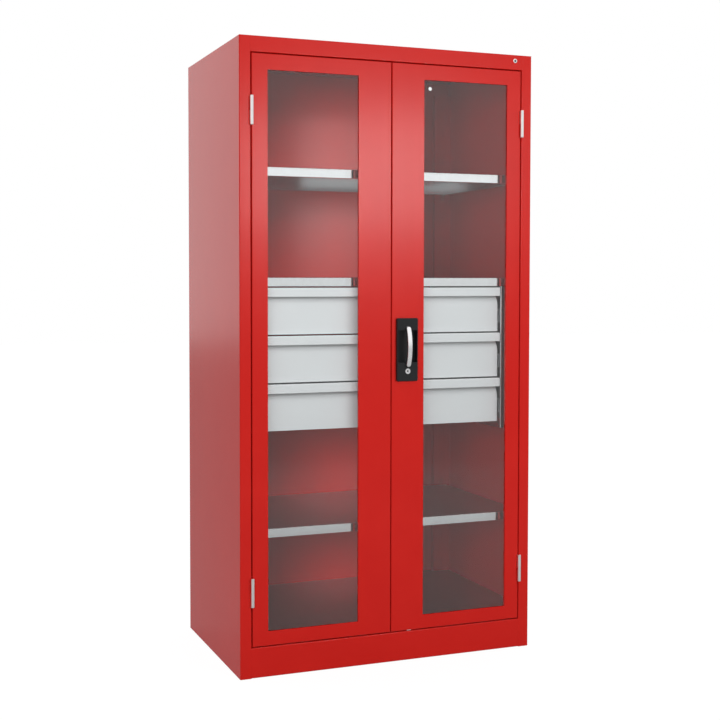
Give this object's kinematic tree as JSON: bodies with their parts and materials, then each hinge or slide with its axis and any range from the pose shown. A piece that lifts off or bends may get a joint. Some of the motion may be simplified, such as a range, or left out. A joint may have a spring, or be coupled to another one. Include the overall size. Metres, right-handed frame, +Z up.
{
  "type": "heavy-duty storage cabinet",
  "caption": "Tall sheet-steel storage cabinet with windowed swing doors, galvanised shelves and a block of drawers behind them, and a lever handle that works a rod lock.",
  "frame": {"origin": "bottom centre of the whole object's box, the handle's bow included", "axes": "+Z up, +X to the right of someone facing the doors, +Y to the back"},
  "size_m": [1, 0.632, 1.95],
  "materials": {
    "red_paint": "satin powder coat",
    "galvanised_steel": "glossy galvanised",
    "zinc_steel": "zinc plated",
    "drawer_grey": "satin powder coat",
    "hinge_steel": "bright",
    "black_plastic": "fine grain",
    "satin_chrome": "satin",
    "tinted_glass": "clear, grey tint",
    "black_rubber": "matte"
  },
  "bodies": {
    "cabinet": {"back_panel": "red_paint", "drawer_1_outer_rails": "zinc_steel", "drawer_2_outer_rails": "zinc_steel", "drawer_3_outer_rails": "zinc_steel", "floor_panel": "galvanised_steel", "front_left_upright": "red_paint", "front_right_upright": "red_paint", "header_plug": "zinc_steel", "left_drawer_carrier": "zinc_steel", "left_hinge_frame_knuckles": "hinge_steel", "left_hinge_pins": "hinge_steel", "left_side_panel": "red_paint", "lower_shelf": "galvanised_steel", "middle_shelf": "galvanised_steel", "plinth": "red_paint", "rear_left_upright": "red_paint", "rear_right_upright": "red_paint", "right_drawer_carrier": "zinc_steel", "right_hinge_frame_knuckles": "hinge_steel", "right_hinge_pins": "hinge_steel", "right_side_panel": "red_paint", "shelf_clips": "galvanised_steel", "top_panel": "red_paint", "upper_shelf": "galvanised_steel"},
    "left_door": {"left_door_skin": "red_paint", "left_door_inner_frame": "red_paint", "left_door_pane": "tinted_glass", "left_door_seal": "black_rubber", "left_hinge_door_knuckles": "hinge_steel"},
    "right_door": {"right_door_skin": "red_paint", "right_door_inner_frame": "red_paint", "right_door_pane": "tinted_glass", "right_door_seal": "black_rubber", "right_hinge_door_knuckles": "hinge_steel", "handle_housing": "black_plastic", "lock_case": "zinc_steel", "lock_barrel": "satin_chrome", "rod_guides": "black_plastic"},
    "handle_turner": {"handle_spindle": "zinc_steel", "lock_pinion": "zinc_steel"},
    "handle_lever": {"handle_bow": "satin_chrome", "handle_lift_pin": "zinc_steel"},
    "key_plug": {"lock_plug": "zinc_steel", "lock_cam": "zinc_steel"},
    "upper_rod": {"upper_lock_rod": "zinc_steel"},
    "lower_rod": {"lower_lock_rod": "zinc_steel"},
    "drawer_1": {"drawer_1_front": "drawer_grey", "drawer_1_tray": "drawer_grey", "drawer_1_inner_rails": "zinc_steel"},
    "drawer_1_runner": {"drawer_1_middle_rails": "zinc_steel"},
    "drawer_2": {"drawer_2_front": "drawer_grey", "drawer_2_tray": "drawer_grey", "drawer_2_inner_rails": "zinc_steel"},
    "drawer_2_runner": {"drawer_2_middle_rails": "zinc_steel"},
    "drawer_3": {"drawer_3_front": "drawer_grey", "drawer_3_tray": "drawer_grey", "drawer_3_inner_rails": "zinc_steel"},
    "drawer_3_runner": {"drawer_3_middle_rails": "zinc_steel"}
  },
  "joints": [
    {"name": "left_door_hinge", "type": "hinge", "parent": "cabinet", "child": "left_door", "pos_m": [-0.46225, -0.2905, 0], "axis": [0, 0, -1], "range_deg": [0, 180]},
    {"name": "right_door_hinge", "type": "hinge", "parent": "cabinet", "child": "right_door", "pos_m": [0.46225, -0.2905, 0], "axis": [0, 0, 1], "range_deg": [0, 180]},
    {"name": "handle_turn", "type": "hinge", "parent": "right_door", "child": "handle_turner", "pos_m": [0.052, -0.284, 1.066], "axis": [0, -1, 0], "range_deg": [0, 90]},
    {"name": "handle_lift", "type": "hinge", "parent": "handle_turner", "child": "handle_lever", "pos_m": [0.052, -0.3, 1.066], "axis": [-1, 0, 0], "range_deg": [0, 30]},
    {"name": "key_turn", "type": "hinge", "parent": "right_door", "child": "key_plug", "pos_m": [0.052, -0.284, 0.929], "axis": [0, -1, 0], "range_deg": [0, 90]},
    {"name": "upper_rod_slide", "type": "slide", "parent": "right_door", "child": "upper_rod", "axis": [0, 0, -1], "range_m": [0, 0.016]},
    {"name": "lower_rod_slide", "type": "slide", "parent": "right_door", "child": "lower_rod", "axis": [0, 0, 1], "range_m": [0, 0.016]},
    {"name": "drawer_1_slide", "type": "slide", "parent": "cabinet", "child": "drawer_1", "axis": [0, -1, 0], "range_m": [0, 0.45]},
    {"name": "drawer_1_runner_slide", "type": "slide", "parent": "cabinet", "child": "drawer_1_runner", "axis": [0, -1, 0], "range_m": [0, 0.225]},
    {"name": "drawer_2_slide", "type": "slide", "parent": "cabinet", "child": "drawer_2", "axis": [0, -1, 0], "range_m": [0, 0.45]},
    {"name": "drawer_2_runner_slide", "type": "slide", "parent": "cabinet", "child": "drawer_2_runner", "axis": [0, -1, 0], "range_m": [0, 0.225]},
    {"name": "drawer_3_slide", "type": "slide", "parent": "cabinet", "child": "drawer_3", "axis": [0, -1, 0], "range_m": [0, 0.45]},
    {"name": "drawer_3_runner_slide", "type": "slide", "parent": "cabinet", "child": "drawer_3_runner", "axis": [0, -1, 0], "range_m": [0, 0.225]}
  ],
  "couplings": [
    {"joint": "right_door_hinge", "follows": "left_door_hinge", "ratio": 1},
    {"joint": "upper_rod_slide", "follows": "handle_turn", "m_per_rad": 0.0096},
    {"joint": "lower_rod_slide", "follows": "handle_turn", "m_per_rad": 0.0096},
    {"joint": "drawer_1_slide", "follows": "left_door_hinge", "m_per_rad": 0.065},
    {"joint": "drawer_1_runner_slide", "follows": "left_door_hinge", "m_per_rad": 0.0325},
    {"joint": "drawer_2_slide", "follows": "left_door_hinge", "m_per_rad": 0.065},
    {"joint": "drawer_2_runner_slide", "follows": "left_door_hinge", "m_per_rad": 0.0325},
    {"joint": "drawer_3_slide", "follows": "left_door_hinge", "m_per_rad": 0.065},
    {"joint": "drawer_3_runner_slide", "follows": "left_door_hinge", "m_per_rad": 0.0325}
  ]
}
